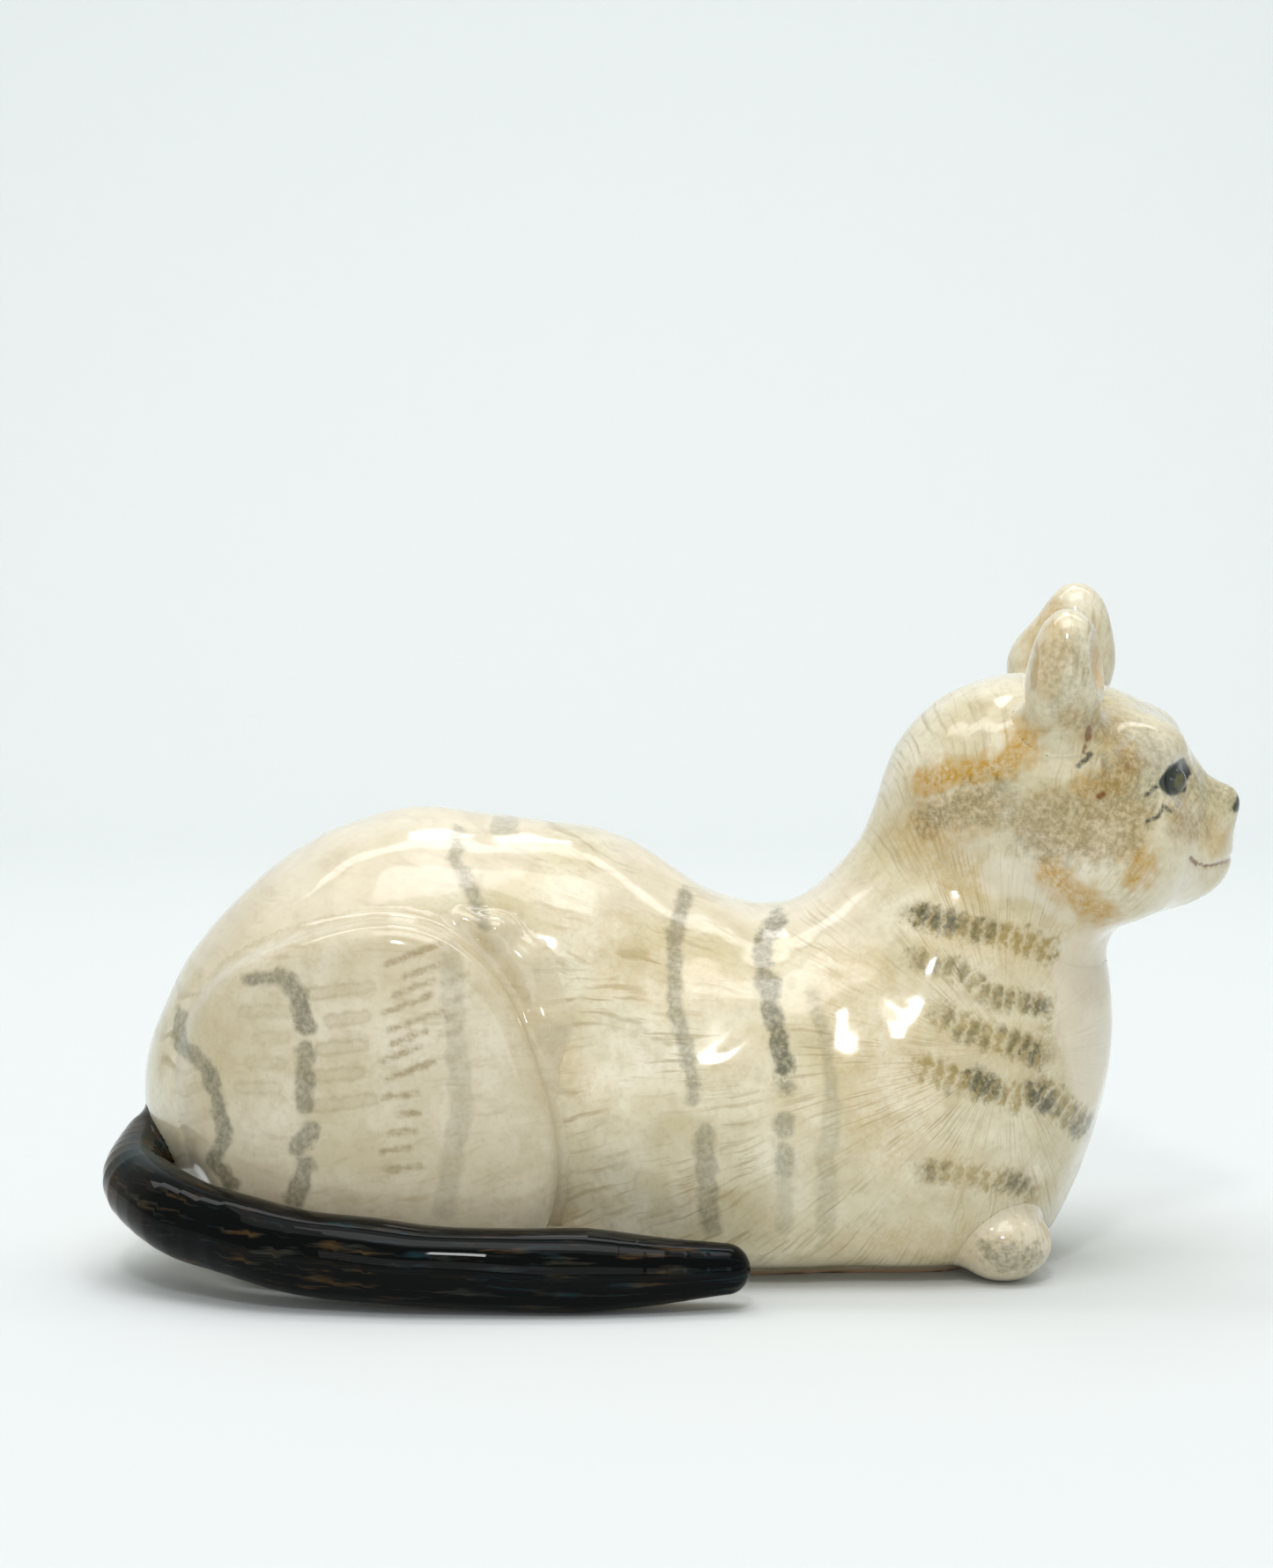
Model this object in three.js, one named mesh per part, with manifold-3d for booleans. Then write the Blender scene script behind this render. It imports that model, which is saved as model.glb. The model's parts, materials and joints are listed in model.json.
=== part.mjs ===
// A glazed ceramic cat, lying down with its head up and its tail along its right flank.
// It is luted together from slip-cast and hand-pressed pieces: body, head, ears, haunches, paws, tail.
// Millimetres, +Z up, nose toward +X, the cat's right side toward -Y, standing on z = 0.
import * as THREE from 'three';
import { mergeVertices } from 'three/addons/utils/BufferGeometryUtils.js';
import Module from 'manifold-3d';

const wasm = await Module();
wasm.setup();

// ---- driving dimensions -------------------------------------------------------------------
const WALL = 5;                       // cast wall
const LIFT = 2;                       // the foot holds the rest of the underside off the table
const FOOT_INSET = 5;                 // how far the foot stands back inside the underside's edge
const LUTE_GAP = 0.3;                 // clearance left in each luted joint
const VENT = { x: -30, radius: 5.5, depth: 30 };
const SPINE = { rear: -46, front: 40, z: 33 };     // axis that the body casting is pressed out from
const HEAD_CORE = new THREE.Vector3(68, 0, 78);    // point that the head casting is pressed out from
const NECK_SEAM = { point: new THREE.Vector3(58, 0, 69), tilt: 28 };  // degrees nose-up from level
const HEAD_PIVOT = new THREE.Vector3(58, 0, 74);
const HEAD_TURN = 6;                  // degrees toward the cat's right
const HEAD_LEAN = 4;                  // degrees, left ear up

const TORSO = [
  { centre: [-54.5, 0, 42.5], radii: [42, 33, 29], pitch: -45, blend: 0 },  // rump
  { centre: [-49, 0, 27], radii: [37.5, 35, 31], blend: 8 },              // seat
  { centre: [-20, 0, 38], radii: [34, 30, 38], blend: 8 },                // loin
  { centre: [14, 0, 25], radii: [58, 36, 36], blend: 12 },                // belly
  { centre: [44.5, 0, 27], radii: [25, 34, 36], blend: 10 },              // shoulders
  { centre: [54.5, 0, 42], radii: [23, 27, 28], blend: 8 },               // chest
  { from: [44, 0, 46], to: [56, 0, 74], radii: [23.5, 18.5], blend: 12 }, // neck
];
const SKULL = [
  { centre: [62, 0, 82], radii: [23, 24, 20], blend: 0 },                 // back of the skull
  { centre: [74, 0, 79], radii: [19.5, 24, 19], blend: 8 },               // forehead
  { centre: [86, 0, 70.5], radii: [11.8, 13, 8.8], blend: 6 },            // muzzle
  { from: [79, 0, 82], to: [96.3, 0, 80.2], radii: [6, 3], blend: 5 },    // bridge of the nose
  { centre: [74, -15, 71], radii: [14, 11, 10.2], blend: 7 },             // right cheek
  { centre: [74, 15, 71], radii: [14, 11, 10.2], blend: 7 },              // left cheek
];
const HAUNCH = { centre: [-52, 22, 28], radii: [33, 19, 34], pitch: -18 };
const FOREPAW_RIGHT = { centre: [56.5, 22.5, 6.5], radii: [8.2, 9, 6.5], pitch: 0 };
const FOREPAW_LEFT = { centre: [60, 16, 6.5], radii: [8.2, 9, 6.5], pitch: 0 };
const HINDPAW = { centre: [-22, 27, 5.5], radii: [12, 8, 6], pitch: 0 };
const EAR = { centre: [68.5, 21, 102], radii: [6.8, 8, 14], pitch: 4 };
const EAR_SCOOP = { forward: 5.8, up: 1, scale: [0.72, 0.66, 0.78] };
const TAIL_ROUTE = [
  [-84, 0, 24], [-90, -9, 20.5], [-88.5, -24, 15.8], [-72, -40, 11],
  [-46, -47, 8], [-14, -48, 6.7], [9, -46, 6.6],
];
const TAIL_RADII = [4.8, 5.2, 6.4, 6.9, 6.8, 6.6, 4.4];

const CREAM = { color: 0xd6ccb6, roughness: 0.18, metalness: 0 };
const THIGH = { color: 0xcfc3aa, roughness: 0.18, metalness: 0 };
const PALE = { color: 0xe4ddd0, roughness: 0.18, metalness: 0 };
const BLACK = { color: 0x0d0f0e, roughness: 0.1, metalness: 0 };

// ---- distances ------------------------------------------------------------------------------
const rad = THREE.MathUtils.degToRad;
const Y_AXIS = new THREE.Vector3(0, 1, 0);

function lumpDistance(p, lump) {
  if (lump.from) {
    const a = new THREE.Vector3(...lump.from);
    const axis = new THREE.Vector3(...lump.to).sub(a);
    const t = THREE.MathUtils.clamp(p.clone().sub(a).dot(axis) / axis.lengthSq(), 0, 1);
    return p.distanceTo(a.addScaledVector(axis, t)) - THREE.MathUtils.lerp(...lump.radii, t);
  }
  const r = new THREE.Vector3(...lump.radii);
  const q = p.clone().sub(new THREE.Vector3(...lump.centre));
  q.applyAxisAngle(Y_AXIS, -rad(lump.pitch ?? 0)).divide(r);
  const slope = q.clone().divide(r).length();
  return slope > 0 ? q.length() * (q.length() - 1) / slope : -r.z;
}

// Joins two distances with a fillet about as wide as blend.
function fillet(a, b, blend) {
  const h = THREE.MathUtils.clamp(0.5 + 0.5 * (b - a) / blend, 0, 1);
  return THREE.MathUtils.lerp(b, a, h) - blend * h * (1 - h);
}

function formDistance(p, lumps) {
  return lumps.reduce((d, lump) => {
    const next = lumpDistance(p, lump);
    return lump.blend ? fillet(d, next, lump.blend) : next;
  }, 0);
}

// ---- solids ---------------------------------------------------------------------------------
function solid(geometry) {
  const bare = geometry.clone();
  bare.deleteAttribute('normal');
  bare.deleteAttribute('uv');
  const merged = mergeVertices(bare, 1e-4);
  return new wasm.Manifold(new wasm.Mesh({
    numProp: 3,
    vertProperties: new Float32Array(merged.attributes.position.array),
    triVerts: new Uint32Array(merged.index.array),
  }));
}

function meshOf(name, body, finish) {
  const { vertProperties, triVerts } = body.getMesh();
  const geometry = new THREE.BufferGeometry();
  geometry.setAttribute('position', new THREE.BufferAttribute(vertProperties, 3));
  geometry.setIndex(new THREE.BufferAttribute(triVerts, 1));
  geometry.computeVertexNormals();
  const mesh = new THREE.Mesh(geometry, new THREE.MeshStandardMaterial(finish));
  mesh.name = name;
  return mesh;
}

// Moves each vertex of a rounded blank out along its normal, from the blank's own core,
// until it lies on the form (or outside it by grow, inside it where grow is negative).
function pressOnto(blank, coreRadius, lumps, grow = 0) {
  const REACH = 75;
  const position = blank.attributes.position;
  const normal = blank.attributes.normal;
  const core = new THREE.Vector3();
  const way = new THREE.Vector3();
  for (let i = 0; i < position.count; i += 1) {
    way.fromBufferAttribute(normal, i).normalize();
    core.fromBufferAttribute(position, i).addScaledVector(way, -coreRadius);
    let near = 0;
    let far = REACH;
    for (let step = 0; step < 24; step += 1) {
      const middle = (near + far) / 2;
      const d = formDistance(core.clone().addScaledVector(way, middle), lumps);
      if (d < grow) near = middle;
      else far = middle;
    }
    core.addScaledVector(way, near);
    position.setXYZ(i, core.x, core.y, core.z);
  }
  return solid(blank);
}

function pressBody(grow, capRings, sides, rings) {
  const blank = new THREE.CapsuleGeometry(1, SPINE.front - SPINE.rear, capRings, sides, rings);
  blank.rotateZ(-Math.PI / 2);
  blank.translate((SPINE.front + SPINE.rear) / 2, 0, SPINE.z);
  return pressOnto(blank, 1, TORSO, grow);
}

function pressHead(grow, sides, rings) {
  const blank = new THREE.SphereGeometry(1, sides, rings);
  blank.rotateZ(-Math.PI / 2);
  blank.translate(HEAD_CORE.x, HEAD_CORE.y, HEAD_CORE.z);
  return pressOnto(blank, 1, SKULL, grow);
}

// A pressed lump on one side: side is -1 for the cat's right, 1 for its left.
function lumpSolid(lump, side, grow, sides, rings) {
  const [x, y, z] = lump.centre;
  const [rx, ry, rz] = lump.radii;
  const ball = new THREE.SphereGeometry(1, sides, rings);
  ball.rotateX(Math.PI / 2);
  ball.scale(rx + grow, ry + grow, rz + grow);
  ball.rotateY(rad(lump.pitch));
  ball.translate(x, side * y, z);
  return solid(ball);
}

function block(width, depth, height, x, y, z) {
  return new THREE.BoxGeometry(width, depth, height).translate(x, y, z);
}

const BIG = 300;
const underTable = solid(block(BIG, BIG, BIG, 0, 0, -BIG / 2));
const underLift = solid(block(BIG, BIG, BIG, 0, 0, LIFT - BIG / 2));

// Everything above (or below) the neck seam, held off it by half the luting gap.
function seamHalf(above) {
  const half = BIG / 2 + LUTE_GAP / 2;
  const slab = block(BIG, BIG, BIG, 0, 0, above ? half : -half);
  slab.rotateY(rad(NECK_SEAM.tilt));
  slab.translate(NECK_SEAM.point.x, 0, NECK_SEAM.point.z);
  return solid(slab);
}

// The head and ears are set a little turned and leaning.
function setHead(body) {
  const turn = new THREE.Matrix4().makeRotationZ(-rad(HEAD_TURN));
  const lean = new THREE.Matrix4().makeRotationX(rad(HEAD_LEAN));
  const matrix = new THREE.Matrix4().makeTranslation(HEAD_PIVOT)
    .multiply(turn)
    .multiply(lean)
    .multiply(new THREE.Matrix4().makeTranslation(HEAD_PIVOT.clone().negate()));
  return body.transform(matrix.elements);
}

// ---- body casting ---------------------------------------------------------------------------
const bodyClear = pressBody(LUTE_GAP, 6, 36, 12);
const ventDrill = new THREE.CylinderGeometry(VENT.radius, VENT.radius, VENT.depth, 20);
ventDrill.rotateX(Math.PI / 2).translate(VENT.x, 0, 0);
const bodyCavity = pressBody(-WALL, 5, 24, 9)
  .subtract(solid(block(BIG, BIG, BIG, 0, 0, WALL - BIG / 2)));
const foot = pressBody(-FOOT_INSET, 6, 36, 12)
  .subtract(underTable)
  .subtract(solid(block(BIG, BIG, BIG, 0, 0, WALL + BIG / 2)));
const bodyCasting = pressBody(0, 6, 36, 12)
  .subtract(underLift)
  .add(foot)
  .subtract(bodyCavity)
  .subtract(solid(ventDrill))
  .intersect(seamHalf(false));

// ---- head casting ---------------------------------------------------------------------------
const headClear = setHead(pressHead(LUTE_GAP, 32, 22));
const headCasting = setHead(pressHead(0, 32, 22).subtract(pressHead(-WALL, 20, 12)))
  .intersect(seamHalf(true));

// ---- ears, haunches and paws ----------------------------------------------------------------
function pressEar(side) {
  const scoop = {
    centre: [EAR.centre[0] + EAR_SCOOP.forward, EAR.centre[1], EAR.centre[2] + EAR_SCOOP.up],
    radii: EAR.radii.map((r, i) => r * EAR_SCOOP.scale[i]),
    pitch: EAR.pitch,
  };
  const flap = lumpSolid(EAR, side, 0, 18, 12).subtract(lumpSolid(scoop, side, 0, 14, 8));
  return setHead(flap).subtract(headClear);
}

function pressHaunch(side, grow = 0) {
  return lumpSolid(HAUNCH, side, grow, 22, 14);
}

const sides = [['right', -1, FOREPAW_RIGHT], ['left', 1, FOREPAW_LEFT]];
const pieces = [];
pieces.push(meshOf('body_casting', bodyCasting, CREAM));
pieces.push(meshOf('head_casting', headCasting, CREAM));
for (const [word, side, paw] of sides) {
  const haunch = pressHaunch(side).subtract(bodyClear).subtract(underLift);
  const forepaw = lumpSolid(paw, side, 0, 16, 10).subtract(bodyClear).subtract(underTable);
  const hindpaw = lumpSolid(HINDPAW, side, 0, 16, 10)
    .subtract(bodyClear)
    .subtract(pressHaunch(side, LUTE_GAP))
    .subtract(underTable);
  pieces.push(meshOf(`ear_${word}`, pressEar(side), CREAM));
  pieces.push(meshOf(`haunch_${word}`, haunch, THIGH));
  pieces.push(meshOf(`forepaw_${word}`, forepaw, PALE));
  pieces.push(meshOf(`hindpaw_${word}`, hindpaw, PALE));
}

// ---- tail: a coil of clay, tapered at both ends, luted along the right flank ------------------
function rollTail() {
  const SIDES = 14;
  const RINGS = 34;
  const route = new THREE.CatmullRomCurve3(TAIL_ROUTE.map((p) => new THREE.Vector3(...p)));
  const length = route.getLength();
  const coil = new THREE.CapsuleGeometry(1, length, 4, SIDES, RINGS);
  const position = coil.attributes.position;
  const up = new THREE.Vector3(0, 0, 1);
  for (let i = 0; i < position.count; i += 1) {
    const along = position.getY(i) / length + 0.5;
    const t = THREE.MathUtils.clamp(along, 0, 1);
    const beyond = (along - t) * length;
    const step = t * (TAIL_RADII.length - 1);
    const first = Math.min(Math.floor(step), TAIL_RADII.length - 2);
    const radius = THREE.MathUtils.lerp(TAIL_RADII[first], TAIL_RADII[first + 1], step - first);
    const centre = route.getPoint(t);
    const ahead = route.getTangent(t);
    const across = new THREE.Vector3().crossVectors(ahead, up).normalize();
    const over = new THREE.Vector3().crossVectors(across, ahead);
    centre.addScaledVector(ahead, beyond * radius);
    centre.addScaledVector(across, position.getX(i) * radius);
    centre.addScaledVector(over, position.getZ(i) * radius);
    position.setXYZ(i, centre.x, centre.y, centre.z);
  }
  return solid(coil);
}

const tail = rollTail()
  .subtract(bodyClear)
  .subtract(pressHaunch(-1, LUTE_GAP))
  .subtract(underTable);
pieces.push(meshOf('tail', tail, BLACK));

const cat = new THREE.Group();
cat.add(...pieces);
export default cat;
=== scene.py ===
import json
import math

import bpy
import numpy as np
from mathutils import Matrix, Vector


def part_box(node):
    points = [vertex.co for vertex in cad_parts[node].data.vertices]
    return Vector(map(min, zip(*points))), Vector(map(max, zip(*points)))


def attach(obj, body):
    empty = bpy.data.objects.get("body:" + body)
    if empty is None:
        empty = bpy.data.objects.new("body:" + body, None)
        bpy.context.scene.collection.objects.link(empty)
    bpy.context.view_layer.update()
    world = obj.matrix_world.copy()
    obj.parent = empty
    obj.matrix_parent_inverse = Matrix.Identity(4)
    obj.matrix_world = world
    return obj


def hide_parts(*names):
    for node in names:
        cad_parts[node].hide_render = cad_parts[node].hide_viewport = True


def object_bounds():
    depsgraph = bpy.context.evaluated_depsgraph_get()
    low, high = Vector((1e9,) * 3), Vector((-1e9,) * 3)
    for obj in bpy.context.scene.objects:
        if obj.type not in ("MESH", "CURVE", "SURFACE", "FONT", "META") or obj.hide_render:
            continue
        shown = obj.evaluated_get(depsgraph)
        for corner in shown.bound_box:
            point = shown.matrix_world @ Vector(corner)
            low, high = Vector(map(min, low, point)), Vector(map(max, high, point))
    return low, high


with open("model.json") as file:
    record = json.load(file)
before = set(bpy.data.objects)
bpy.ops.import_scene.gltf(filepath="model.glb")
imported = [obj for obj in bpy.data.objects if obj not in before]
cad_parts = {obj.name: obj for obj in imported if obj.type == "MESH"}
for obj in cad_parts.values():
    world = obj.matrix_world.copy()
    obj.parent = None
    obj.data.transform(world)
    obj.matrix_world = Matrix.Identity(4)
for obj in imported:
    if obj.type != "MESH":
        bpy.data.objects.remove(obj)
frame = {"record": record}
cad_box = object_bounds()


# ---- body ----------------------------------------------------------------------------------
# One hollow slip casting of buff earthenware, about 5 mm thick, from the rump to the stump of
# the neck. It stands on a flat foot set in from its rounded lower edge, and the foot has the
# small hole that let the air out in the kiln. It is painted in thin washes, then glazed.
MM = 0.001
foot = np.array(frame["record"]["mounts"][0]["pos_m"]) / MM
WALL = 5.0
LIFT = 2.0
FOOT_INSET = 5.0
FOOT_FILLET = 1.0
LOWER_EDGE = 5.0
VENT_X = -30.0
VENT_RADIUS = 5.5
VENT_DEEP = 15.0
VENT_EDGE = 1.0
BODY_CELL = 0.95
BODY_MARGIN = 3.0
BROAD_HUMPS, FINE_HUMPS = (0.35, 31), (0.05, 12)
TORSO = [
    dict(centre=(-54.5, 0, 42.5), radii=(42, 33, 29), pitch=-45),                # rump
    dict(centre=(-49, 0, 27), radii=(37.5, 35, 31), blend=8),                    # seat
    dict(centre=(-20, 0, 38), radii=(34, 30, 38), blend=8),                      # loin
    dict(centre=(14, 0, 25), radii=(58, 36, 36), blend=12),                      # belly
    dict(centre=(44.5, 0, 27), radii=(25, 34, 36), blend=10),                    # shoulders
    dict(centre=(54.5, 0, 42), radii=(23, 27, 28), blend=8),                     # chest
    dict(start=(44, 0, 46), end=(56, 0, 74), radii=(23.5, 18.5), blend=12),      # neck
]


def lump(p, radii, centre=None, start=None, end=None, pitch=0.0, yaw=0.0, blend=0.0):
    """Distance in mm from a lump of clay: an egg at centre, or a roll from start to end."""
    if start is not None:
        axis = np.subtract(end, start).astype(np.float32)
        q = p - np.array(foot + start, np.float32)
        t = np.clip(q @ axis / (axis @ axis), 0, 1)
        return np.linalg.norm(q - t[:, None] * axis, axis=1) - (radii[0] + (radii[1] - radii[0]) * t)
    q = p - np.array(foot + centre, np.float32)
    for turn, (i, j) in ((yaw, (0, 1)), (pitch, (2, 0))):
        if turn:
            c, s = math.cos(math.radians(turn)), math.sin(math.radians(turn))
            u, v = q[:, i].copy(), q[:, j].copy()
            q[:, i], q[:, j] = u * c + v * s, v * c - u * s
    r = np.array(radii, np.float32)
    near = np.sqrt(((q / r) ** 2).sum(1)) + 1e-6
    return near * (near - 1) / (np.sqrt(((q / r ** 2) ** 2).sum(1)) + 1e-6)


def join(a, b, fillet):
    """Two distances smoothed into one, with a fillet of clay where they meet."""
    h = np.clip(0.5 + 0.5 * (b - a) / fillet, 0, 1)
    return b * (1 - h) + a * h - fillet * h * (1 - h)


def carve(a, b, edge):
    """What is left of a when b is cut out of it, with the edge rounded over."""
    return -join(-a, b, edge)


def heap(p, lumps):
    """All the lumps of a form, pressed together one after the other."""
    total = lump(p, **lumps[0])
    for each in lumps[1:]:
        total = join(total, lump(p, **each), each["blend"])
    return total


def wobble(p, depth, pitch):
    """The unevenness that hands and sponge leave, depth mm deep and pitch mm from hump to hump.
    The humps are bent out of line by sines of the other axes, so that no grid shows."""
    a = p * (2 * math.pi / pitch)
    bend = 1.3 * np.sin(0.6 * a[:, [1, 2, 0]] + 0.7)
    return depth * np.sin(a + bend).prod(axis=1)


def body_form(p):
    clay = heap(p, TORSO) + wobble(p, *BROAD_HUMPS) + wobble(p, *FINE_HUMPS)
    height = p[:, 2] - foot[2]
    rounded = carve(clay, height - LIFT, LOWER_EDGE)
    stand = np.maximum(clay + FOOT_INSET, np.maximum(-height, height - 2 * LIFT))
    return join(rounded, stand, FOOT_FILLET)


def body_casting(p):
    skin = body_form(p)
    vent = np.hypot(p[:, 0] - foot[0] - VENT_X, p[:, 1] - foot[1]) - VENT_RADIUS
    vent = np.maximum(vent, p[:, 2] - foot[2] - VENT_DEEP)
    return carve(np.maximum(skin, -skin - WALL), vent, VENT_EDGE)


def nets(values, low, cell):
    """One point in each cell that the skin crosses, joined into four-sided faces."""
    inside = values < 0
    size = np.array(values.shape) - 1
    corners = [np.array((i, j, k)) for i in (0, 1) for j in (0, 1) for k in (0, 1)]

    def shifted(grid, c):
        return grid[c[0]:c[0] + size[0], c[1]:c[1] + size[1], c[2]:c[2] + size[2]]

    count = sum(shifted(inside, c).astype(np.int8) for c in corners)
    crossed = (count > 0) & (count < 8)
    cells = np.argwhere(crossed)
    number = np.full(crossed.shape, -1, np.int64)
    number[crossed] = np.arange(len(cells))
    at = np.stack([shifted(values, c)[crossed] for c in corners], 1)
    total = np.zeros((len(cells), 3))
    hits = np.zeros(len(cells))
    for a in range(8):
        for b in range(a + 1, 8):
            if abs(corners[a] - corners[b]).sum() == 1:
                cut = (at[:, a] < 0) != (at[:, b] < 0)
                share = np.where(cut, at[:, a] / np.where(cut, at[:, a] - at[:, b], 1), 0)
                total += cut[:, None] * (corners[a] + share[:, None] * (corners[b] - corners[a]))
                hits += cut
    points = low + (cells + total / hits[:, None]) * cell
    faces = []
    for axis in range(3):
        u, v = (axis + 1) % 3, (axis + 2) % 3
        here, there = [slice(1, -1)] * 3, [slice(1, -1)] * 3
        here[axis], there[axis] = slice(0, -1), slice(1, None)
        first, second = inside[tuple(here)], inside[tuple(there)]
        base = np.argwhere(first != second)
        base[:, [u, v]] += 1
        ring = []
        for du, dv in ((-1, -1), (0, -1), (0, 0), (-1, 0)):
            step = base.copy()
            step[:, u] += du
            step[:, v] += dv
            ring.append(number[tuple(step.T)])
        ring = np.stack(ring, 1)
        leaving = first[first != second]
        ring[~leaving] = ring[~leaving][:, ::-1]
        faces.append(ring)
    return points, np.concatenate(faces)


SLOPE_REACH = 0.12


def slope(form, p):
    """The direction in which a form's distance grows: straight out of its skin."""
    out = np.empty_like(p)
    for i in range(3):
        step = np.zeros(3, np.float32)
        step[i] = SLOPE_REACH
        out[:, i] = (form(p + step) - form(p - step)) / (2 * SLOPE_REACH)
    return out


BLOCK = 4
SKIN_BAND = 1.9
BATCH = 12000
SAME_SKIN = 0.02
BURIED = 0.4
FLATTEST_PULL = 0.2


def modelled(name, skin, solid, node, margin, cell):
    """Meshes the solid inside its CAD node's box, with the light-catching normals of the skin. It
    is sampled coarsely, then finely in the blocks of cells that the skin comes near, and closed
    at the box. Points on the open skin are drawn on to it; the others keep the solid's normals."""
    corner = [np.array(c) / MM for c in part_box(node)]
    low, high = corner[0] - margin, corner[1] + margin
    low[2] = foot[2] - 3 * cell if low[2] < foot[2] else low[2]
    coarse = np.ceil((high - low) / (cell * BLOCK)).astype(int) + 1
    axes = [low[i] + np.arange(coarse[i]) * cell * BLOCK for i in range(3)]
    p = np.stack(np.meshgrid(*axes, indexing="ij"), -1).reshape(-1, 3).astype(np.float32)
    rough = solid(p).reshape(coarse)
    close = np.minimum(abs(rough), abs(skin(p).reshape(coarse))) < cell * BLOCK * SKIN_BAND
    fine = (coarse - 1) * BLOCK + 1
    for axis in range(3):
        rough = np.repeat(rough, BLOCK, axis)
    values = rough[:fine[0], :fine[1], :fine[2]].astype(np.float32)
    touched = np.zeros(coarse - 1, bool)
    for i in (0, 1):
        for j in (0, 1):
            for k in (0, 1):
                touched |= close[i:coarse[0] - 1 + i, j:coarse[1] - 1 + j, k:coarse[2] - 1 + k]
    blocks = np.argwhere(touched)
    inner = np.stack(np.meshgrid(*[np.arange(BLOCK + 1)] * 3, indexing="ij"), -1).reshape(-1, 3)
    for start in range(0, len(blocks), BATCH):
        grid = (blocks[start:start + BATCH, None] * BLOCK + inner).reshape(-1, 3)
        key = np.unique(np.ravel_multi_index(grid.T, fine))
        grid = np.stack(np.unravel_index(key, fine), 1)
        values[tuple(grid.T)] = solid((low + grid * cell).astype(np.float32))
    for axis in range(3):
        np.moveaxis(values, axis, 0)[[0, -1]] = cell
    points, faces = nets(values, low, cell)
    points = points.astype(np.float32)
    for _ in range(2):
        gap, pull = skin(points), slope(skin, points)
        free = (abs(solid(points) - gap) < SAME_SKIN) & (abs(gap) < cell)
        points[free] -= (gap / np.maximum((pull ** 2).sum(1), FLATTEST_PULL))[free, None] * pull[free]
    outward, own = slope(skin, points), slope(solid, points)
    buried = abs(skin(points)) > BURIED
    outward[buried] = own[buried]
    outward /= np.linalg.norm(outward, axis=1)[:, None] + 1e-9
    mesh = bpy.data.meshes.new(name)
    mesh.vertices.add(len(points))
    mesh.vertices.foreach_set("co", (points * MM).ravel())
    mesh.loops.add(faces.size)
    mesh.loops.foreach_set("vertex_index", faces.ravel())
    mesh.polygons.add(len(faces))
    mesh.polygons.foreach_set("loop_start", np.arange(0, faces.size, 4))
    mesh.update(calc_edges=True)
    mesh.shade_smooth()
    mesh.normals_split_custom_set_from_vertices(outward)
    piece = bpy.data.objects.new(name, mesh)
    bpy.context.scene.collection.objects.link(piece)
    return piece


def right_side(p):
    """Both flanks are built and painted alike: a point on the left is taken to the right."""
    q = p.copy()
    q[:, 1] = foot[1] - abs(q[:, 1] - foot[1])
    return q


def side_on(p):
    """Flank and face seen square from the side, so that a touch lands wherever the skin is."""
    return p[:, [0, 2]]


def keep(piece, mark, values):
    """Stores one number for each point of a piece, for its material to read."""
    layer = piece.data.attributes.new(mark, "FLOAT", "POINT")
    layer.data.foreach_set("value", np.ascontiguousarray(values, np.float32))


def points_in_mm(piece):
    """The points of a piece where they stand, in mm."""
    co = np.empty(len(piece.data.vertices) * 3, np.float32)
    piece.data.vertices.foreach_get("co", co)
    return co.reshape(-1, 3) / MM


def points_of(piece):
    """The points of a piece, in mm from the foot, with the left side taken to the right."""
    return right_side(points_in_mm(piece)) - foot


FAR = 20.0


def nearest_stroke(p, strokes):
    """For each point, how far it is outside the nearest of the brush strokes (half-width, tone,
    route), that stroke's tone, and how far along its route the point lies, in mm."""
    edge = np.full(len(p), FAR)
    tone, along = np.zeros(len(p)), np.zeros(len(p))
    for half, strength, route in strokes:
        gone = 0.0
        for a, b in zip(route, route[1:]):
            way = np.subtract(b, a).astype(float)
            length = math.sqrt(way @ way)
            q = p - np.array(a)
            t = np.clip(q @ way / max(length ** 2, 1e-6), 0, 1)
            gap = np.linalg.norm(q - t[:, None] * way, axis=1) - half
            nearer = gap < edge
            edge[nearer], tone[nearer], along[nearer] = gap[nearer], strength, gone + t[nearer] * length
            gone += length
    return edge, tone, along


def brush(piece, mark, strokes, p):
    """Lays strokes on a piece, whose points are p in the strokes' own axes."""
    for suffix, values in zip(("", "_tone", "_along"), nearest_stroke(p, strokes)):
        keep(piece, mark + suffix, values)


def flood(piece, mark, edge):
    """Marks a whole area in full tone, where edge, in mm, is below nought."""
    keep(piece, mark, edge)
    keep(piece, mark + "_tone", np.ones(len(edge)))


SHOULDER = (56, 40)
FAN = 42.0


def comb(piece):
    """The lie of the fur: fine hairs fan out backward from the shoulder."""
    p = points_of(piece)
    run, rise = p[:, 0] - SHOULDER[0], p[:, 2] - SHOULDER[1]
    keep(piece, "hair_across", np.arctan2(rise, -run) * FAN)
    keep(piece, "hair_along", np.hypot(run, rise))


def add(tree, kind, inputs=None, out=0, **settings):
    """Adds a node, sets it, and fills its inputs with plain values or other nodes' outputs."""
    made = tree.nodes.new("ShaderNode" + kind)
    for name, value in settings.items():
        setattr(made, name, value)
    for name, value in (inputs or {}).items():
        if isinstance(value, bpy.types.NodeSocket):
            tree.links.new(value, made.inputs[name])
        else:
            made.inputs[name].default_value = value
    return made.outputs[out]


def linear(code):
    """An sRGB hex colour as the linear colour that a shader takes."""
    parts = [int(code[i:i + 2], 16) / 255 for i in (1, 3, 5)]
    return (*[c / 12.92 if c <= 0.04045 else ((c + 0.055) / 1.055) ** 2.4 for c in parts], 1.0)


SPECK = 1.0
NOISE_SWING = 3.2
POOL_IN = 0.15


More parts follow.
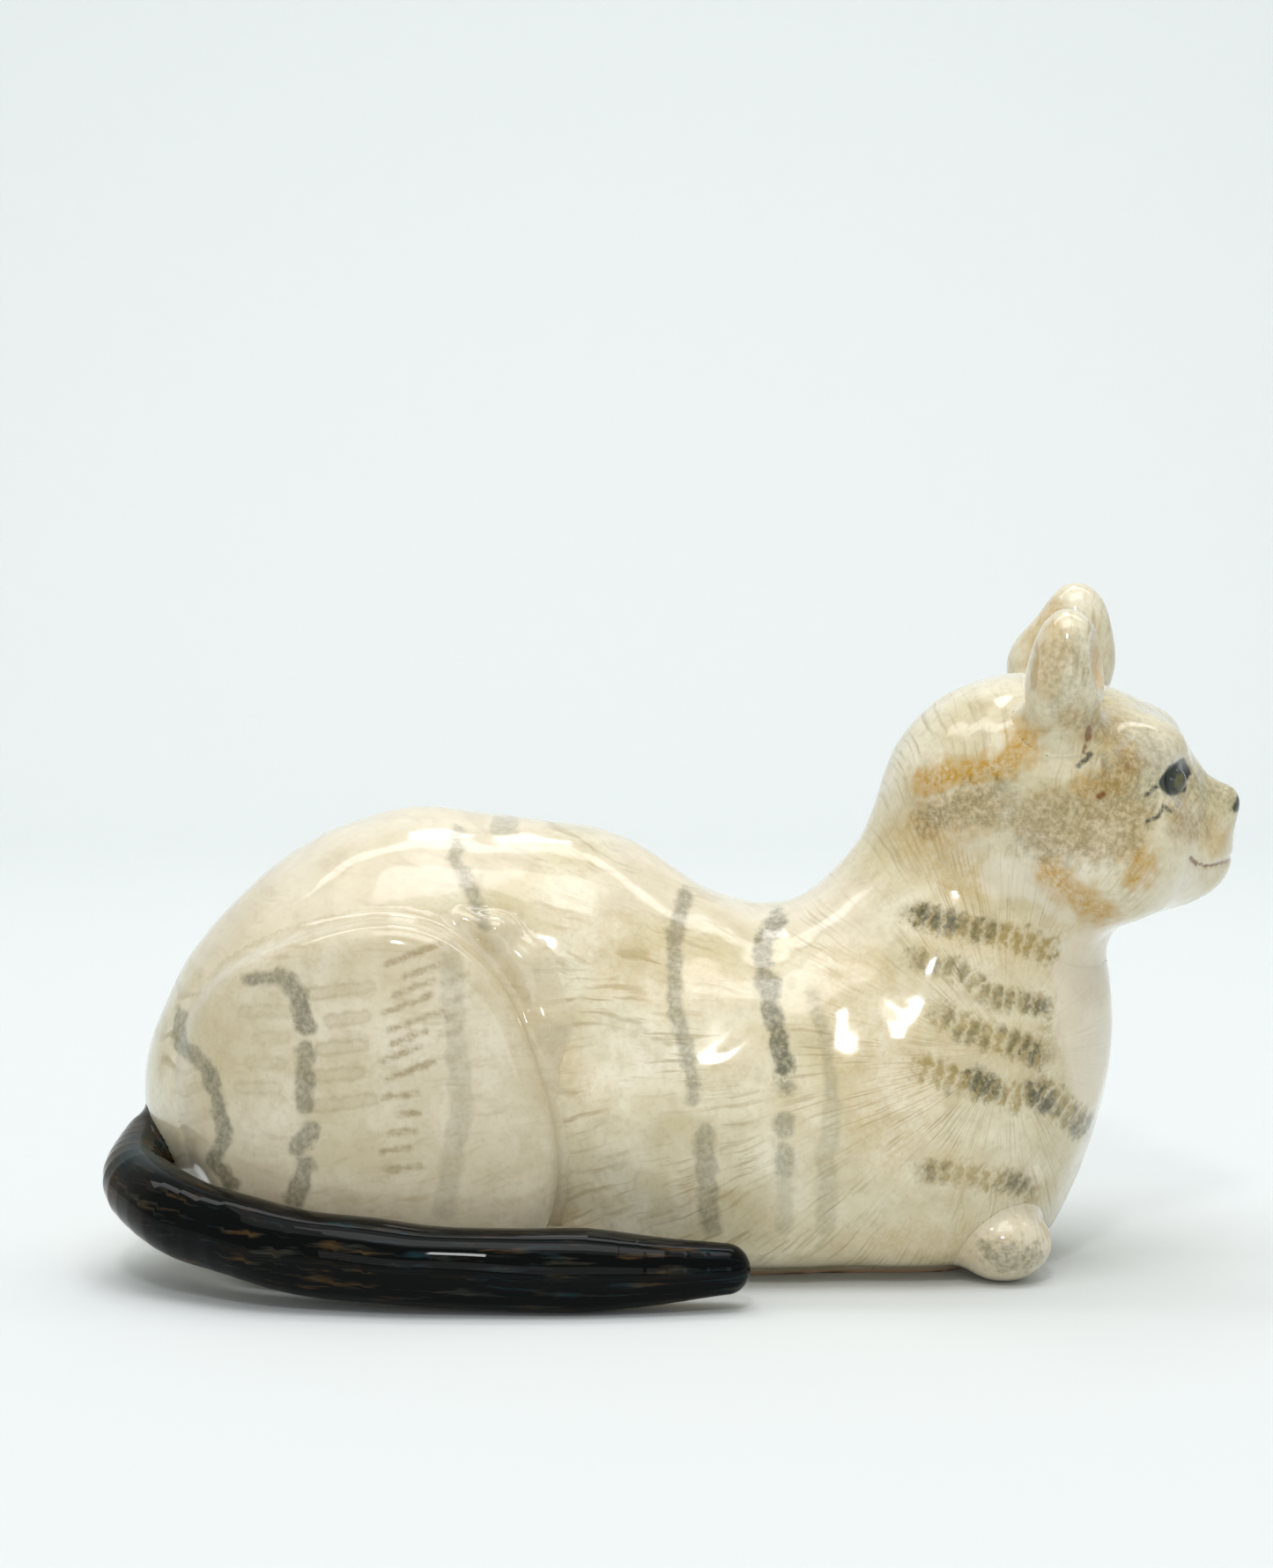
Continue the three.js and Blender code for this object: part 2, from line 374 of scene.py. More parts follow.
def washed(tree, under, mark, colour, soft, ragged, grain=2.2, strength=1.0, pool=0.0,
           dab=0.0, mottle=0.0, patch=0.0):
    """Brushes one pigment over the colour under it. The edge of a mark wanders by ragged mm and
    fades over soft mm, pool draws the pigment to its rim as a wet wash dries, dab breaks the
    stroke into short touches of the brush that many mm apart, mottle lets the ground through in
    specks, and patch keeps the pigment to patches of that many mm."""
    where = add(tree, "TexCoord", out=3)
    edge = add(tree, "Attribute", out=2, attribute_name=mark)
    tone = add(tree, "Attribute", out=2, attribute_name=mark + "_tone")
    noise = add(tree, "TexNoise", {"Vector": where, "Scale": 1 / (grain * MM), "Detail": 3.0})
    drift = add(tree, "Math", {0: noise, 1: 0.5}, operation="SUBTRACT")
    edge = add(tree, "Math", {0: drift, 1: NOISE_SWING * ragged, 2: edge}, operation="MULTIPLY_ADD")
    painted = add(tree, "MapRange", {"Value": edge, "From Min": -soft, "From Max": soft, "To Min": strength,
                                     "To Max": 0.0}, interpolation_type="SMOOTHSTEP")
    shares = [tone, painted]
    if pool:
        off_rim = add(tree, "Math", {0: edge, 1: soft + POOL_IN}, operation="ADD")
        off_rim = add(tree, "Math", {0: off_rim}, operation="ABSOLUTE")
        shares.append(add(tree, "MapRange", {"Value": off_rim, "From Max": 0.6, "To Min": 1.0,
                                             "To Max": 1 - pool}, interpolation_type="SMOOTHSTEP"))
    if dab:
        along = add(tree, "Attribute", out=2, attribute_name=mark + "_along")
        slip = add(tree, "Math", {0: drift, 1: 3.0 * dab, 2: along}, operation="MULTIPLY_ADD")
        beat = add(tree, "Math", {0: slip, 1: dab}, operation="PINGPONG")
        shares.append(add(tree, "MapRange", {"Value": beat, "From Max": 0.7 * dab, "To Min": 0.2,
                                             "To Max": 1.0}, interpolation_type="SMOOTHSTEP"))
    if mottle:
        specks = add(tree, "TexNoise", {"Vector": where, "Scale": 1 / (SPECK * MM), "Detail": 5.0,
                                        "Roughness": 0.65})
        shares.append(add(tree, "MapRange", {"Value": specks, "From Min": 0.38, "From Max": 0.6,
                                             "To Min": 1 - mottle, "To Max": 1.0}))
    if patch:
        patches = add(tree, "TexNoise", {"Vector": where, "Scale": 1 / (patch * MM), "Detail": 2.0})
        shares.append(add(tree, "MapRange", {"Value": patches, "From Min": 0.46, "From Max": 0.58},
                          interpolation_type="SMOOTHSTEP"))
    cover = shares[0]
    for share in shares[1:]:
        cover = add(tree, "Math", {0: cover, 1: share}, operation="MULTIPLY", use_clamp=True)
    return add(tree, "Mix", {0: cover, 6: under, 7: linear(colour)}, out=2, data_type="RGBA")


MARBLING, SPECKLE, HAIR = "#B9A985", "#9C8B64", "#A08C60"
HAIR_WIDE, HAIR_LONG, HAIR_SWAY, SWAY_SIZE, TUFT = 0.7, 10.0, 3.0, 14, 13


def clay_colour(tree, pale, deep, hair):
    """Buff clay under a milky glaze: slow clouds, watery marbling, a fine speckle and brushed hairs."""
    where = add(tree, "TexCoord", out=3)
    colour = linear(pale)
    for size, low, high, most, tint in ((17, 0.35, 0.66, 0.9, deep), (4.5, 0.48, 0.75, 0.55, MARBLING),
                                        (1.1, 0.5, 0.8, 0.3, SPECKLE)):
        cloud = add(tree, "TexNoise", {"Vector": where, "Scale": 1 / (size * MM), "Detail": 4.0,
                                       "Roughness": 0.62})
        cloud = add(tree, "MapRange", {"Value": cloud, "From Min": low, "From Max": high, "To Max": most})
        colour = add(tree, "Mix", {0: cloud, 6: colour, 7: linear(tint)}, out=2, data_type="RGBA")
    across = add(tree, "Attribute", out=2, attribute_name="hair_across")
    along = add(tree, "Attribute", out=2, attribute_name="hair_along")
    sway = add(tree, "TexNoise", {"Vector": where, "Scale": 1 / (SWAY_SIZE * MM), "Detail": 2.0})
    across = add(tree, "Math", {0: sway, 1: HAIR_SWAY, 2: across}, operation="MULTIPLY_ADD")
    lie = add(tree, "CombineXYZ", {0: across, 1: along})
    lie = add(tree, "VectorMath", {0: lie, 1: (1 / HAIR_WIDE, 1 / HAIR_LONG, 0.0)}, operation="MULTIPLY")
    strand = add(tree, "TexNoise", {"Vector": lie, "Scale": 1.0, "Detail": 3.0, "Roughness": 0.55})
    strand = add(tree, "MapRange", {"Value": strand, "From Min": 0.5, "From Max": 0.66},
                 interpolation_type="SMOOTHSTEP")
    tuft = add(tree, "TexNoise", {"Vector": where, "Scale": 1 / (TUFT * MM), "Detail": 2.0})
    tuft = add(tree, "MapRange", {"Value": tuft, "From Min": 0.36, "From Max": 0.6, "To Max": hair})
    strand = add(tree, "Math", {0: strand, 1: tuft}, operation="MULTIPLY")
    return add(tree, "Mix", {0: strand, 6: colour, 7: linear(HAIR)}, out=2, data_type="RGBA")


def ochre_and_shade_blush(tree, under):
    """Iron ochre dabbed on with a sponge: a warm mottled blush with no clear edge. Over the shoulder the
    same blush is painted shade.
    """
    return washed(tree, under, "ochre", "#BB9440", soft=2.6, ragged=2.6, grain=4.0, strength=0.6,
                  mottle=0.7)


def olive_wash(tree, under):
    """Thin olive grey strokes of the brush, ragged where the glaze took them."""
    return washed(tree, under, "wash", "#57563F", soft=0.6, ragged=0.8, grain=2.2, strength=0.85,
                  mottle=0.4)


RIPPLE_DEEP = 0.14


def glazed(name, paint, roughness=0.35, ripple=9.0, coat_ior=1.5, under_gloss=0.2, coat_haze=0.1):
    """A coloured body under clear gloss glaze. paint(tree) gives the colour; the coat gives the
    hard window-like highlights, and a slow ripple in it makes their edges wander."""
    material = bpy.data.materials.new(name)
    material.use_nodes = True
    tree = material.node_tree
    shader = tree.nodes["Principled BSDF"]
    tree.links.new(paint(tree), shader.inputs["Base Color"])
    for socket, value in (("Roughness", roughness), ("Specular IOR Level", under_gloss),
                          ("Coat Weight", 1.0), ("Coat Roughness", coat_haze), ("Coat IOR", coat_ior)):
        shader.inputs[socket].default_value = value
    where = add(tree, "TexCoord", out=3)
    height = add(tree, "TexNoise", {"Vector": where, "Scale": 1 / (ripple * MM), "Detail": 1.0})
    bump = add(tree, "Bump", {"Height": height, "Strength": 0.3, "Distance": RIPPLE_DEEP * MM})
    tree.links.new(bump, shader.inputs["Normal"])
    tree.links.new(bump, shader.inputs["Coat Normal"])
    return material


# Brush strokes seen from the side: half-width in mm, tone, and the route of the brush in mm
# forward of the foot's middle and up from the table.
FLANK_WASHES = [
    (1.5, 0.8, [(-83, 44), (-83, 40), (-78, 38)]),
    (1.4, 0.9, [(-77, 37), (-75, 31), (-74, 26), (-76, 21), (-73, 18)]),
    (1.1, 0.8, [(-70, 52), (-64, 53)]),
    (1.5, 0.8, [(-64, 53), (-62, 51)]),
    (1.6, 0.9, [(-61, 50), (-60, 45)]),
    (1.5, 0.8, [(-60, 41), (-60, 32)]),
    (1.6, 0.8, [(-59, 28), (-61, 25)]),
    (1.7, 0.8, [(-60, 22), (-62, 16)]),
    (1.8, 0.3, [(-36, 57), (-35, 43), (-34, 32), (-37, 15)]),
    (1.1, 0.6, [(-36, 75), (-36, 71), (-34, 68), (-31, 61)]),
    (1.4, 0.5, [(-29, 76), (-27, 76)]),
    (1.3, 0.7, [(3, 64), (1, 59), (1, 53), (1, 47), (3, 40)]),
    (1.2, 0.7, [(3, 40), (4, 33)]),
    (1.7, 0.6, [(6, 27), (6, 20), (7, 11)]),
    (1.5, 0.9, [(19, 60), (17, 58)]),
    (1.6, 0.9, [(16, 57), (16, 54)]),
    (2.0, 0.9, [(16, 51), (17, 50)]),
    (1.6, 1.0, [(17, 47), (18, 43), (19, 38)]),
    (1.7, 0.7, [(19, 29), (19, 28)]),
    (1.6, 0.6, [(19, 24), (19, 21)]),
    (1.3, 0.3, [(19, 19), (19, 11)]),
    (1.1, 0.4, [(24, 49), (26, 42), (27, 33)]),
    (1.6, 0.3, [(27, 31), (26, 24), (26, 11)]),
]
CHEST_BANDS = [
    (2.0, 1.0, [(41, 62), (51, 60), (59, 58), (64, 56)]),
    (1.8, 0.8, [(41, 55), (49, 53), (53, 49), (63, 47)]),
    (2.2, 0.9, [(45, 46), (51, 43), (55, 42), (63, 39)]),
    (2.1, 1.0, [(41, 38), (50, 35), (58, 32), (63, 33), (69, 27), (74, 23)]),
    (1.9, 0.8, [(42, 21), (50, 20), (57, 18), (61, 15)]),
    (0.9, 0.7, [(63, 47), (63, 39)]),
]
CHEST_DARKS = [
    (1.8, 1.0, [(42, 62), (47, 61)]),
    (1.5, 0.8, [(59, 48), (62, 47)]),
    (1.9, 1.0, [(60, 40), (62, 39)]),
    (1.9, 0.9, [(50, 36), (54, 34)]),
    (2.2, 1.0, [(61, 33), (63, 31)]),
    (2.2, 0.8, [(69, 26), (71, 25)]),
    (1.8, 0.9, [(57, 18), (59, 17)]),
    (1.4, 0.7, [(19, 38), (19, 35)]),
]
# Ochre patches of the decoration. The faint broad ones over the shoulder darken it as painted shade.
BODY_OCHRES_AND_SHADE = [
    (5.0, 0.7, [(43, 75), (50, 68)]),
    (8.0, 0.45, [(31, 50), (36, 38), (36, 28)]),
    (6.0, 0.4, [(-10, 56), (6, 50)]),
    (3.5, 0.5, [(45, 60), (62, 56)]),
    (4.0, 0.4, [(46, 42), (60, 38)]),
    (3.0, 0.5, [(66, 60), (70, 58)]),
    (3.0, 0.5, [(-16, 38), (-12, 32)]),
    (2.5, 0.4, [(44, 22), (58, 18)]),
    (4.0, 0.35, [(30, 7), (52, 7)]),
    (3.0, 0.35, [(-18, 62), (-8, 60)]),
    (2.5, 0.3, [(8, 40), (16, 42)]),
]
# Pale strokes. The two along the top of the rump and the back are painted highlight: the top is made paler
# where the light from above and its sheen fall. The two on the chest are the cat's white bib.
BODY_PALES_AND_SHEEN = [
    (9.0, 0.7, [(-76, 60), (-54, 72), (-30, 76)]),
    (5.0, 0.6, [(-8, 68), (10, 64), (30, 62)]),
    (6.5, 1.0, [(71, 53), (72, 44), (74, 35)]),
    (8.0, 1.0, [(76, 53), (77, 44), (77, 34)]),
]
BODY_MARKS = (("wash", FLANK_WASHES), ("band", CHEST_BANDS), ("dark", CHEST_DARKS), ("ochre", BODY_OCHRES_AND_SHADE),
              ("pale", BODY_PALES_AND_SHEEN))
BARE_HIGH = 0.8


def tabby(tree):
    colour = clay_colour(tree, "#E6DEC5", "#C7B98F", hair=0.6)
    # Ochre blush: the cat's ochre patches, and painted shade over the shoulder.
    colour = ochre_and_shade_blush(tree, colour)
    # Pale cream wash: the white bib on the chest, and painted highlight along the top of the rump and back.
    colour = washed(tree, colour, "pale", "#E3D6C0", soft=1.2, ragged=0.6, grain=2.0, strength=0.65)
    colour = olive_wash(tree, colour)
    colour = washed(tree, colour, "band", "#97803F", soft=0.9, ragged=1.3, grain=1.5, strength=0.85,
                    dab=1.2, mottle=0.3)
    colour = washed(tree, colour, "band", "#4A4A2C", soft=0.9, ragged=1.5, grain=1.3, strength=0.65,
                    dab=1.2, mottle=0.4, patch=5.0)
    colour = washed(tree, colour, "dark", "#3A3D26", soft=1.0, ragged=1.2, grain=1.1, strength=0.85,
                    dab=1.0, mottle=0.3)
    return washed(tree, colour, "bare", "#D8B48C", soft=0.2, ragged=0.3)


def tabby_marks(piece):
    p = side_on(points_of(piece))
    for mark, strokes in BODY_MARKS:
        brush(piece, mark, strokes, p)
    comb(piece)
    flood(piece, "bare", p[:, 1] - BARE_HIGH)


body = modelled("body", body_form, body_casting, "body_casting", BODY_MARGIN, BODY_CELL)
tabby_marks(body)
# The clear coat over painted clay gives deep, watery stripes under hard bright highlights.
body.data.materials.append(glazed("glazed earthenware, tabby wash", tabby))
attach(body, "root")
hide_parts("body_casting")


# ---- head ----------------------------------------------------------------------------------
# A second slip casting, luted to the neck while leather-hard and turned a little to the cat's
# right. Brow, eye sockets, nose and mouth are modelled by hand in the soft clay.
HEAD_TURN = 6.0
HEAD_LEAN = 4.0
HEAD_PIVOT = (58, 0, 74)
NECK_FILLET = 8.0
HEAD_CELL = 0.5
SEAM = 0.04
ROOT = 1.2
SKULL = [
    dict(centre=(62, 0, 82), radii=(23, 24, 20)),                                # back of the skull
    dict(centre=(74, 0, 79), radii=(19.5, 24, 19), blend=8),                     # forehead
    dict(centre=(86, 0, 70.5), radii=(11.8, 13, 8.8), blend=6),                  # muzzle
    dict(start=(78, 0, 80.5), end=(96.3, 0, 80.0), radii=(6, 2.8), blend=5),     # bridge of the nose
    dict(centre=(91.5, 0, 75.5), radii=(5.6, 7, 5.5), blend=4),                  # upper lip
    dict(centre=(74, -15, 71), radii=(14, 11, 10.2), blend=7),                   # cheek
    dict(centre=(67, -17, 88), radii=(11, 8, 9), blend=6),                       # root of the ear
    dict(centre=(81.5, -10.5, 90.5), radii=(7.5, 6.5, 5), yaw=25, blend=4),      # brow
]
EYE = dict(centre=(85.7, -12.0, 85.3), radii=(3.0, 4.4, 3.0), yaw=38)
SOCKET = dict(centre=(92.5, -15.5, 85), radii=(6, 6, 4.2), yaw=38)
MOUTH = [(99, 71), (96, 70), (93, 70), (91, 71), (90, 72.5)]
LIP_LINE_DEPTH, LIP_LINE_WIDTH = 0.35, 0.6
HEAD_HUMPS = (0.12, 13)
SOCKET_EDGE = 3.0
EYELID_FILLET = 0.8
SEAM_STEEPNESS = 8


def set_straight(p):
    """A point as it would lie with the head facing straight ahead."""
    pivot = (foot + HEAD_PIVOT).astype(np.float32)
    q = p - pivot
    for turn, (i, j) in ((-HEAD_TURN, (0, 1)), (HEAD_LEAN, (1, 2))):
        c, s = math.cos(math.radians(turn)), math.sin(math.radians(turn))
        u, v = q[:, i].copy(), q[:, j].copy()
        q[:, i], q[:, j] = u * c + v * s, v * c - u * s
    return q + pivot


def head_side(p):
    return right_side(set_straight(p))


def head_form(p):
    q = head_side(p)
    form = heap(q, SKULL) + wobble(p, *HEAD_HUMPS)
    form = carve(form, lump(q, **SOCKET), SOCKET_EDGE)
    form = join(form, lump(q, **EYE), EYELID_FILLET)
    lip_line = nearest_stroke(side_on(q - foot), [(0, 1, MOUTH)])[0]
    return form + LIP_LINE_DEPTH * np.exp(-(lip_line / LIP_LINE_WIDTH) ** 2)


def luted(form, ground, fillet):
    """The skin that a new piece makes with the ones under it, and its own solid: a short root in
    the clay under it, and a fillet of slip that thins out to nothing round the joint."""
    def skin(p):
        return join(form(p), ground(p), fillet)

    def solid(p):
        base = ground(p)
        both = join(form(p), base, fillet)
        return np.maximum(np.maximum(both, SEAM_STEEPNESS * (both - base + SEAM)), -base - ROOT)

    return skin, solid


head_skin, head_solid = luted(head_form, body_form, NECK_FILLET)
head = modelled("head", head_skin, head_solid, "head_casting", NECK_FILLET + 2, HEAD_CELL)
tabby_marks(head)
HEAD_OCHRES = [
    (2.4, 1.0, [(45, 85), (50, 87), (55, 88), (60, 90), (62, 94)]),
    (4.0, 0.55, [(47, 79), (55, 82)]),
    (2.6, 0.9, [(66, 72), (70, 68), (75, 64)]),
    (3.0, 0.8, [(72, 85), (77, 86), (79, 89)]),
    (2.2, 1.0, [(81, 74), (81, 71)]),
    (6.0, 0.5, [(66, 80), (77, 79)]),
    (2.5, 0.5, [(88, 80), (92, 76), (95, 74)]),
    (3.0, 0.5, [(70, 97), (76, 94)]),
    (2.6, 0.5, [(65, 103), (67, 111)]),
]
HEAD_OLIVES = [
    (3.2, 0.45, [(69, 98), (69, 108)]),
    (2.2, 0.7, [(46, 79), (53, 83), (59, 85)]),
    (2.0, 0.6, [(53, 80), (59, 81)]),
    (6.0, 0.6, [(66, 79), (76, 79), (80, 87)]),
    (3.0, 0.5, [(73, 97), (80, 93), (84, 90)]),
    (2.0, 0.6, [(91, 84), (95, 82), (98, 81)]),
    (2.2, 0.5, [(88, 79), (92, 78)]),
]
HEAD_PALE = [
    (3.5, 0.8, [(58, 70), (63, 70), (67, 68), (69, 66)]),
    (2.8, 0.6, [(63, 76), (68, 74), (74, 73)]),
    (3.0, 0.5, [(83, 68), (90, 66)]),
    (3.0, 0.6, [(80, 91), (85, 90)]),
]
HEAD_DARKS = [
    (0.8, 1.0, [(85.2, 85.6), (86.8, 87.4), (88.6, 88.2)]),
    (0.9, 1.0, [(85.6, 85.2), (87, 83.8), (88.6, 83.8)]),
    (0.6, 1.0, [(88.6, 88.2), (89.8, 86.0)]),
    (0.3, 0.9, [(82, 83.6), (83.5, 84.8), (85.2, 85.4)]),
    (0.3, 0.9, [(82.2, 79.6), (84.4, 80.2), (85.2, 81.8), (86.6, 80.8)]),
    (0.3, 0.4, [(86.6, 80.8), (88, 81.6)]),
    (0.45, 0.9, [(70.9, 89.3), (72.3, 90.3), (72.8, 91)]),
    (0.8, 1.0, [(99.2, 80.4), (98.6, 79.2)]),
]
HEAD_EYE = [(1.9, 1.0, [(86.6, 85.4), (88.2, 86.2)])]
HEAD_IRIS = [(0.7, 1.0, [(87.8, 84.8), (88.1, 86.0)])]
HEAD_BROWNS = [
    (0.5, 0.9, [(72.6, 95.4), (72.4, 93.6)]),
    (0.3, 0.9, [(72, 92.2), (71.8, 91.4)]),
    (0.5, 1.0, [(75, 84.4), (74.4, 84)]),
    (0.4, 0.6, [(79, 89), (79, 88.4)]),
    (0.3, 0.5, [(75, 90), (75.2, 87.6)]),
    (0.3, 0.9, [(90, 72.4), (91, 71.2), (93, 70.2), (97, 70.4)]),
]
FACE_MARKS = (("h_ochre", HEAD_OCHRES), ("h_olive", HEAD_OLIVES), ("h_pale", HEAD_PALE),
              ("h_eye", HEAD_EYE), ("h_iris", HEAD_IRIS), ("h_dark", HEAD_DARKS), ("h_brown", HEAD_BROWNS))


def face_marks(piece):
    p = side_on(head_side(points_in_mm(piece)) - foot)
    for mark, strokes in FACE_MARKS:
        brush(piece, mark, strokes, p)


face_marks(head)


def face_paint(tree):
    colour = tabby(tree)
    colour = washed(tree, colour, "h_pale", "#E6DDCB", soft=0.8, ragged=0.8, grain=2.4, strength=0.6)
    colour = washed(tree, colour, "h_ochre", "#B88A1C", soft=1.8, ragged=2.2, grain=2.0, strength=0.95,
                    mottle=0.55)
    colour = washed(tree, colour, "h_olive", "#5C5626", soft=2.2, ragged=2.8, grain=1.4, strength=0.85,
                    mottle=0.7)
    colour = washed(tree, colour, "h_brown", "#7A4A12", soft=0.25, ragged=0.3, grain=1.0)
    colour = washed(tree, colour, "h_eye", "#1A2119", soft=0.3, ragged=0.2, grain=1.0)
    colour = washed(tree, colour, "h_dark", "#20281F", soft=0.3, ragged=0.25, grain=0.9, strength=0.95)
    return washed(tree, colour, "h_iris", "#5E5D38", soft=0.4, ragged=0.3, grain=1.0, strength=0.8)


# The same clear coat over ochre and dark pigment gives the wet look of the eyes and nose.
head.data.materials.append(glazed("glazed earthenware, painted face", face_paint))
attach(head, "root")
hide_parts("head_casting")


# ---- ears ----------------------------------------------------------------------------------
# Two thumbs of clay pressed on to the head, scooped out in front with a loop tool, so that a
# thick rim is left. The scoop is tinted with ochre before glazing.
EAR_CELL = 0.42
EAR_FILLET = 4.0
EAR_MARGIN = EAR_FILLET + 2.5
SCOOP_RIM = 1.2
EARS = {
    "right": [
        dict(centre=(68.3, -21, 100.5), radii=(6.2, 7, 8)),
        dict(centre=(69.0, -21, 106.5), radii=(5.7, 6.6, 8.5), blend=4),
    ],
    "left": [
        dict(centre=(68.4, -21, 101), radii=(9.4, 7, 9)),
        dict(centre=(71.2, -21, 107), radii=(6.4, 6.6, 9.3), blend=4),
    ],
}
EAR_SCOOP = dict(centre=(75.8, -24.0, 107), radii=(3.4, 4.2, 6.2), yaw=28)


def ear_form(p, lumps):
    q = head_side(p)
    return carve(heap(q, lumps), lump(q, **EAR_SCOOP), SCOOP_RIM)


def ear_paint(tree):
    return washed(tree, face_paint(tree), "scoop", "#C99A66", soft=0.6, ragged=0.5, strength=0.75,
                  mottle=0.3)


# The tint pools in the scoop, so the inside of the ear looks warm and thin under its shine.
ear_glaze = glazed("glazed earthenware, tinted ear", ear_paint)
for side, lumps in EARS.items():
    node = "ear_" + side
    ear_skin, ear_solid = luted(lambda p, lumps=lumps: ear_form(p, lumps), head_skin, EAR_FILLET)
    ear = modelled(node, ear_skin, ear_solid, node, EAR_MARGIN, EAR_CELL)
    tabby_marks(ear)
    face_marks(ear)
    flood(ear, "scoop", lump(head_side(points_of(ear) + foot), **EAR_SCOOP))
    ear.data.materials.append(ear_glaze)
    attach(ear, "root")
    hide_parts(node)


# ---- haunches ------------------------------------------------------------------------------
# Each thigh is a pad of clay luted to the flank, with a rolled fold of skin along its front
# edge. Rows of short brush touches stand for the fur on it.
HAUNCH_CELL = 0.7
HAUNCH_FILLET = 2.6
PAD_MIDDLE = (-50.0, 28.0)
PAD_RADII = (30.0, 33.0)
PAD_TILT = -18.0
PAD_FACE = 39.5
PAD_INNER = 15.0
PAD_SQUARENESS = 2.6
PAD_EDGE = 4.5
PAD_CREST = 6
PAD_FALL_BACK, PAD_FALL_FRONT, PAD_FALL_UP = 0.0105, 0.002, 0.0032
PAD_MARGIN = HAUNCH_FILLET + 8
FOLD = [(-34, -25, 61), (-29, -25.5, 59), (-24, -26, 53.5), (-20.5, -29, 44), (-21, -31, 36)]
FOLD_RADII = (1.6, 2.8, 3.4, 3.0, 1.2)
FOLD_BLEND = 2.0


def haunch_form(p):
    q = right_side(p)
    x, z = q[:, 0] - foot[0] - PAD_MIDDLE[0], q[:, 2] - foot[2] - PAD_MIDDLE[1]
    c, s = math.cos(math.radians(PAD_TILT)), math.sin(math.radians(PAD_TILT))
    oval = np.abs(np.stack([x * c - z * s, x * s + z * c], 1) / PAD_RADII) + 1e-6
    outline = ((oval ** PAD_SQUARENESS).sum(1) ** (1 / PAD_SQUARENESS) - 1) * PAD_RADII[0]
    fall = np.where(x < PAD_CREST, PAD_FALL_BACK, PAD_FALL_FRONT)
    face = PAD_FACE - PAD_FALL_UP * z * z - fall * (x - PAD_CREST) ** 2
    form = carve(foot[1] - q[:, 1] - face, -outline, PAD_EDGE)
    form = np.maximum(form, q[:, 1] - foot[1] + PAD_INNER)
    for i in range(len(FOLD) - 1):
        form = join(form, lump(q, FOLD_RADII[i:i + 2], start=FOLD[i], end=FOLD[i + 1]), FOLD_BLEND)
    return carve(form, p[:, 2] - foot[2] - LIFT, LOWER_EDGE)


haunch_skin, haunch_solid = luted(haunch_form, body_form, HAUNCH_FILLET)
# Columns of touches: the top one's place, its half-length and slant, how many there are, the step
# down from one to the next, their half-width, and their tone.
FUR_COLUMNS = [
    (-42, 57, 4.4, 0.36, 8, 2.7, 0.65, 0.85),
    (-54, 51, 4.6, 0.15, 5, 4.6, 1.4, 0.4),
    (-44, 34, 2.8, 0.15, 5, 3.0, 0.65, 0.85),
    (-67, 47, 3.5, 0.05, 4, 4.2, 1.4, 0.25),
    (-35, 53, 2.0, 0.4, 4, 2.9, 0.65, 0.4),
]
SHORTENED, SHIFTED, LEANING = 0.12, 0.8, 0.3
FUR = []
for x, z, length, slant, count, pitch, thick, tone in FUR_COLUMNS:
    for row in range(count):
        half = length * (1 - SHORTENED * (row * 7 % 4))
        mid_x = x + SHIFTED * (row * 5 % 3) - LEANING * row
        mid_z = z - pitch * row
        ends = [(mid_x - half, mid_z - half * slant), (mid_x + half, mid_z + half * slant)]
        FUR.append((thick, tone, ends))


def fur_touches_over_shaded_clay(tree):
    # A darker copy of the body's clay colour: painted shade on the thigh's face.
    colour = clay_colour(tree, "#DCD2BA", "#C5B793", hair=0.25)
    colour = ochre_and_shade_blush(tree, colour)
    colour = washed(tree, colour, "fur", "#8A7440", soft=0.4, ragged=0.4, grain=1.6, pool=0.5,
                    strength=0.8, mottle=0.3)
    return olive_wash(tree, colour)


# Brush touches with darker rims show through the clear coat as short tufts of fur. The clay under them is a
# darker copy of the body's, painted shade on the thigh's upright face.
thigh_glaze = glazed("glazed earthenware, fur touches over shaded clay", fur_touches_over_shaded_clay)
for side in ("right", "left"):
    node = "haunch_" + side
    haunch = modelled(node, haunch_skin, haunch_solid, node, PAD_MARGIN, HAUNCH_CELL)
    tabby_marks(haunch)
    brush(haunch, "fur", FUR, side_on(points_of(haunch)))
    haunch.data.materials.append(thigh_glaze)
    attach(haunch, "root")
    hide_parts(node)


# ---- paws ----------------------------------------------------------------------------------
# Four small rolls of clay tucked under the body. The fore paws show at the chest, with their
# toes marked by a modelling tool, and the hind paws peep out from under the thighs.
PAW_CELL = 0.42
PAW_FILLET = 2.0
PAW_SMUDGE = [(2.6, 0.9, [(54, -31, 6), (60, -30, 5)])]
TOE_SPREAD = (-0.33, 0.33)
TOE_FORWARD = 0.97
TOE_TOP, TOE_TIP = (-1.5, 0, 4.5), (0, 0, -4)
TOE_RADII = (0.5, 0.6)
TOE_EDGE = 1.2
FORE_RADII, HIND_RADII = (8.2, 9, 6.5), (11, 8, 4.6)


def paw_paint(tree):
    colour = clay_colour(tree, "#E5DBC4", "#D2C5A6", hair=0.3)
    colour = ochre_and_shade_blush(tree, colour)
    return washed(tree, colour, "smudge", "#56583F", soft=1.6, ragged=2.4, grain=1.4, strength=0.7,
                  mottle=0.6)


def seat_form(p):
    return join(haunch_form(p), body_form(p), HAUNCH_FILLET)


PAWS = [
    ("forepaw_right", FORE_RADII, body_form),
    ("forepaw_left", FORE_RADII, body_form),
    ("hindpaw_right", HIND_RADII, seat_form),
    ("hindpaw_left", HIND_RADII, seat_form),
]


def on_table(solid):
    """The solid, cut off flat where it stands on the table."""
    return lambda p: np.maximum(solid(p), foot[2] - p[:, 2])


